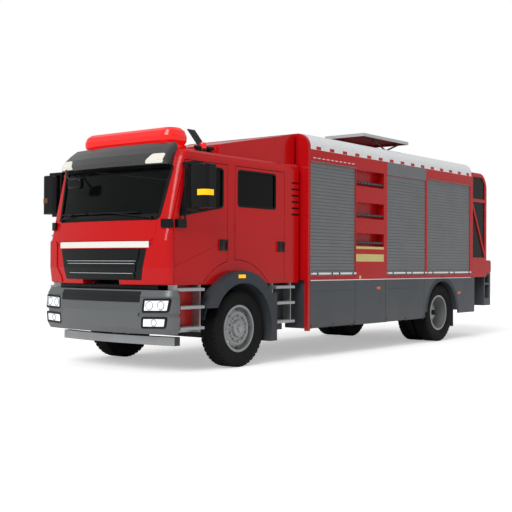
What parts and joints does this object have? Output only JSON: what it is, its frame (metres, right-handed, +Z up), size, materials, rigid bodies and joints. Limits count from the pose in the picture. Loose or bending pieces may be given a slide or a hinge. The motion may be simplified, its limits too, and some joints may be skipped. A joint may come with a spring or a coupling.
{
  "type": "airport fire truck",
  "caption": "Airport fire and rescue truck with a crew cab, hollow locker body behind roller shutters, climbing bays, glazed pump bay, raised roof hatch and road wheels.",
  "frame": {"origin": "on the ground under the middle of the vehicle's length and width", "axes": "+X forward, +Y to the vehicle's left, +Z up"},
  "size_m": [9.1698, 3.065, 3.4749],
  "materials": {
    "frame_paint": "semi-gloss chassis enamel",
    "axle_iron": "dark cast surface",
    "cab_red": "gloss enamel",
    "body_red": "gloss enamel",
    "band_white": "gloss enamel",
    "shutter_alu": "anodised slats",
    "rail_white": "powder coat",
    "step_alu": "chequered tread",
    "trim_grey": "grained moulding",
    "skirt_grey": "satin enamel",
    "bumper_grey": "satin enamel",
    "grille_black": "fine grain",
    "visor_grey": "smoked",
    "lamp_clear": "clear lens",
    "strip_silver": "bright",
    "lamp_red": "moulded lens",
    "glass_clear": "tinted",
    "glass_smoked": "dark tint",
    "seat_cloth": "woven",
    "rubber_black": "road tyre",
    "rim_silver": "wheel enamel",
    "steel": "bright",
    "mirror_black": "moulded",
    "lid_red": "underside paint, pale rim"
  },
  "bodies": {
    "truck": {"chassis_frame": "frame_paint", "front_axle": "axle_iron", "rear_axle": "axle_iron", "engine_and_pump": "frame_paint", "cab_shell": "cab_red", "windscreen": "glass_clear", "front_grille": "grille_black", "strip_lamp": "strip_silver", "front_bumper": "bumper_grey", "headlamps": "lamp_clear", "sun_visor": "visor_grey", "roof_lights": "lamp_red", "roof_fairing": "cab_red", "cab_interior": "seat_cloth", "cab_steps": "step_alu", "mudguards": "trim_grey", "body_shell": "body_red", "roof_band": "band_white", "shutters": "shutter_alu", "grab_rails": "rail_white", "side_skirts": "skirt_grey", "tail_frame": "body_red", "tail_glass": "glass_smoked", "tail_bumper": "skirt_grey", "tail_lamps": "lamp_red", "hatch_coaming": "band_white"},
    "hatch": {"hatch_lid": "lid_red"},
    "hatch_lower_arms": {"hatch_arms_lower": "steel"},
    "hatch_upper_arms": {"hatch_arms_upper": "steel"},
    "door_front_left": {"door_front_left": "cab_red", "glass_front_left": "glass_clear", "mirror_left": "mirror_black"},
    "door_rear_left": {"door_rear_left": "cab_red", "glass_rear_left": "glass_clear"},
    "flap_front_left": {"flap_front_left": "skirt_grey"},
    "flap_rear_left": {"flap_rear_left": "skirt_grey"},
    "knuckle_left": {"knuckle_left": "axle_iron"},
    "wheel_front_left": {"tyre_front_left": "rubber_black", "rim_front_left": "rim_silver"},
    "wheel_rear_left": {"tyre_rear_left": "rubber_black", "rim_rear_left": "rim_silver"},
    "door_front_right": {"door_front_right": "cab_red", "glass_front_right": "glass_clear", "mirror_right": "mirror_black"},
    "door_rear_right": {"door_rear_right": "cab_red", "glass_rear_right": "glass_clear"},
    "flap_front_right": {"flap_front_right": "skirt_grey"},
    "flap_rear_right": {"flap_rear_right": "skirt_grey"},
    "knuckle_right": {"knuckle_right": "axle_iron"},
    "wheel_front_right": {"tyre_front_right": "rubber_black", "rim_front_right": "rim_silver"},
    "wheel_rear_right": {"tyre_rear_right": "rubber_black", "rim_rear_right": "rim_silver"}
  },
  "joints": [
    {"name": "door_front_left_hinge", "type": "hinge", "parent": "truck", "child": "door_front_left", "pos_m": [4.346, 1.12, 1.67], "axis": [0, 0, -1], "range_deg": [0, 75]},
    {"name": "door_rear_left_hinge", "type": "hinge", "parent": "truck", "child": "door_rear_left", "pos_m": [3.177, 1.12, 1.67], "axis": [0, 0, -1], "range_deg": [0, 75]},
    {"name": "flap_front_left_hinge", "type": "hinge", "parent": "truck", "child": "flap_front_left", "pos_m": [1.023, 1.236, 0.455], "axis": [-1, 0, 0], "range_deg": [0, 90]},
    {"name": "flap_rear_left_hinge", "type": "hinge", "parent": "truck", "child": "flap_rear_left", "pos_m": [-1.141, 1.236, 0.455], "axis": [-1, 0, 0], "range_deg": [0, 90]},
    {"name": "steer_left", "type": "hinge", "parent": "truck", "child": "knuckle_left", "pos_m": [3.135, 0.93, 0.508], "axis": [0, 0, 1], "range_deg": [-36, 36]},
    {"name": "spin_front_left", "type": "hinge", "parent": "knuckle_left", "child": "wheel_front_left", "pos_m": [3.135, 1.052, 0.508], "axis": [0, 1, 0], "continuous": true},
    {"name": "spin_rear_left", "type": "hinge", "parent": "truck", "child": "wheel_rear_left", "pos_m": [-2.465, 0.904, 0.508], "axis": [0, 1, 0], "continuous": true},
    {"name": "door_front_right_hinge", "type": "hinge", "parent": "truck", "child": "door_front_right", "pos_m": [4.346, -1.12, 1.67], "axis": [0, 0, 1], "range_deg": [0, 75]},
    {"name": "door_rear_right_hinge", "type": "hinge", "parent": "truck", "child": "door_rear_right", "pos_m": [3.177, -1.12, 1.67], "axis": [0, 0, 1], "range_deg": [0, 75]},
    {"name": "flap_front_right_hinge", "type": "hinge", "parent": "truck", "child": "flap_front_right", "pos_m": [1.023, -1.236, 0.455], "axis": [1, 0, 0], "range_deg": [0, 90]},
    {"name": "flap_rear_right_hinge", "type": "hinge", "parent": "truck", "child": "flap_rear_right", "pos_m": [-1.141, -1.236, 0.455], "axis": [1, 0, 0], "range_deg": [0, 90]},
    {"name": "steer_right", "type": "hinge", "parent": "truck", "child": "knuckle_right", "pos_m": [3.135, -0.93, 0.508], "axis": [0, 0, 1], "range_deg": [-36, 36]},
    {"name": "spin_front_right", "type": "hinge", "parent": "knuckle_right", "child": "wheel_front_right", "pos_m": [3.135, -1.052, 0.508], "axis": [0, 1, 0], "continuous": true},
    {"name": "spin_rear_right", "type": "hinge", "parent": "truck", "child": "wheel_rear_right", "pos_m": [-2.465, -0.904, 0.508], "axis": [0, 1, 0], "continuous": true},
    {"name": "hatch_lift", "type": "slide", "parent": "truck", "child": "hatch", "axis": [0, 0, 1], "range_m": [-0.245, 0]},
    {"name": "hatch_lower_fold", "type": "hinge", "parent": "truck", "child": "hatch_lower_arms", "pos_m": [-1.465, 0.625, 3.125], "axis": [0, 1, 0], "range_deg": [0, 16.54]},
    {"name": "hatch_upper_fold", "type": "hinge", "parent": "hatch", "child": "hatch_upper_arms", "pos_m": [-1.465, 0.625, 3.41], "axis": [0, 1, 0], "range_deg": [-16.54, 0]}
  ],
  "couplings": [
    {"joint": "hatch_lower_fold", "follows": "hatch_lift", "rad_per_m": -1.1714},
    {"joint": "hatch_upper_fold", "follows": "hatch_lift", "rad_per_m": 1.1714},
    {"joint": "steer_right", "follows": "steer_left", "ratio": 1}
  ]
}
